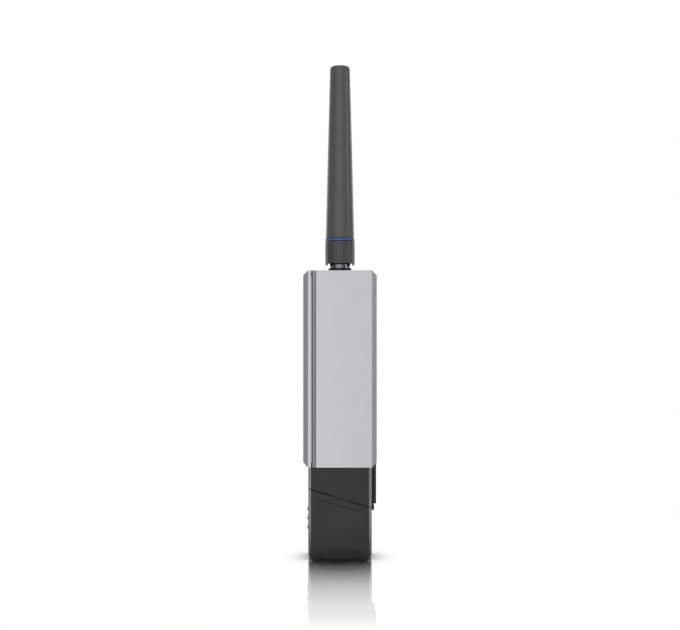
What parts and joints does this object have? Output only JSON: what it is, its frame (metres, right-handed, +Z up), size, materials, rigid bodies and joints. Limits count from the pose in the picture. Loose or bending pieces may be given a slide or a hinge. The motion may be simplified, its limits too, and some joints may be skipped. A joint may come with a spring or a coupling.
{
  "type": "usb wifi adapter",
  "caption": "Upright USB wireless adapter: two-piece silver housing, dark plug collar, pull-off plug cap with a slanted seam, side key and a screw-on tapered whip antenna.",
  "frame": {"origin": "centre of the outline on the surface that the plug cap stands on, under the antenna's axis", "axes": "+Z up along the plug and antenna, X across the broad face with the seam channel towards -X and the key at +X, Y through the thickness"},
  "size_m": [0.026, 0.02, 0.1764],
  "materials": {
    "silver_shell": "satin silver paint on moulded plastic",
    "dark_plastic": "fine-grained dark grey moulding",
    "black_plastic": "black moulding",
    "antenna_black": "satin elastomer",
    "ring_blue": "blue moulding",
    "dark_nickel": "dark bright plating",
    "bright_steel": "bright stamped and turned metal",
    "gold_plate": "thin gold plating",
    "brass_tube": "drawn brass",
    "board_green": "solder mask on glass laminate",
    "chip_black": "moulded epoxy",
    "white_nylon": "white moulding",
    "white_ptfe": "turned fluoropolymer",
    "clear_acrylic": "polished clear plastic",
    "lamp_lens": "clear epoxy",
    "cable_jacket": "extruded fluoropolymer jacket"
  },
  "bodies": {
    "chassis": {"front_cover": "silver_shell", "rear_shell": "silver_shell", "light_pipe": "clear_acrylic", "plug_collar": "dark_plastic", "key_switch": "chip_black", "usb_shell": "bright_steel", "usb_insulator": "white_nylon", "usb_contact_1": "gold_plate", "usb_contact_2": "gold_plate", "usb_contact_3": "gold_plate", "usb_contact_4": "gold_plate", "main_board": "board_green", "board_screw_1": "bright_steel", "board_screw_2": "bright_steel", "radio_chip": "chip_black", "power_amplifier": "chip_black", "crystal": "bright_steel", "flash_chip": "chip_black", "voltage_regulator": "chip_black", "status_led": "lamp_lens", "shield_frame": "bright_steel", "shield_lid": "bright_steel", "coax_socket": "gold_plate", "coax_plug": "gold_plate", "coax_pigtail": "cable_jacket", "jack_body": "dark_nickel", "jack_insulator": "white_ptfe", "jack_pin": "gold_plate", "jack_nut": "bright_steel", "lock_washer": "bright_steel"},
    "cap": {"plug_cap": "dark_plastic", "cap_catch": "black_plastic"},
    "key": {"pairing_key": "black_plastic", "switch_plunger": "white_nylon"},
    "antenna": {"antenna_whip": "antenna_black", "antenna_ring": "ring_blue", "antenna_plug_body": "bright_steel", "antenna_insulator": "white_ptfe", "antenna_contact": "gold_plate", "antenna_rod": "brass_tube", "choke_sleeve": "brass_tube"},
    "sleeve": {"knurled_sleeve": "antenna_black", "coupling_nut": "bright_steel"}
  },
  "joints": [
    {"name": "cap_pull", "type": "slide", "parent": "cap", "child": "chassis", "axis": [0, 0, 1], "range_m": [0, 0.026]},
    {"name": "key_press", "type": "slide", "parent": "chassis", "child": "key", "axis": [-1, 0, 0], "range_m": [0, 0.00035], "stiffness_N_per_m": 600, "springref_m": -0.0015},
    {"name": "antenna_lift", "type": "slide", "parent": "chassis", "child": "antenna", "axis": [0, 0, 1], "range_m": [0, 0.00353]},
    {"name": "sleeve_turn", "type": "hinge", "parent": "antenna", "child": "sleeve", "pos_m": [0, 0, 0.109], "axis": [0, 0, 1], "range_deg": [0, 1801]}
  ],
  "couplings": [
    {"joint": "sleeve_turn", "follows": "antenna_lift", "rad_per_m": 8905.3}
  ]
}
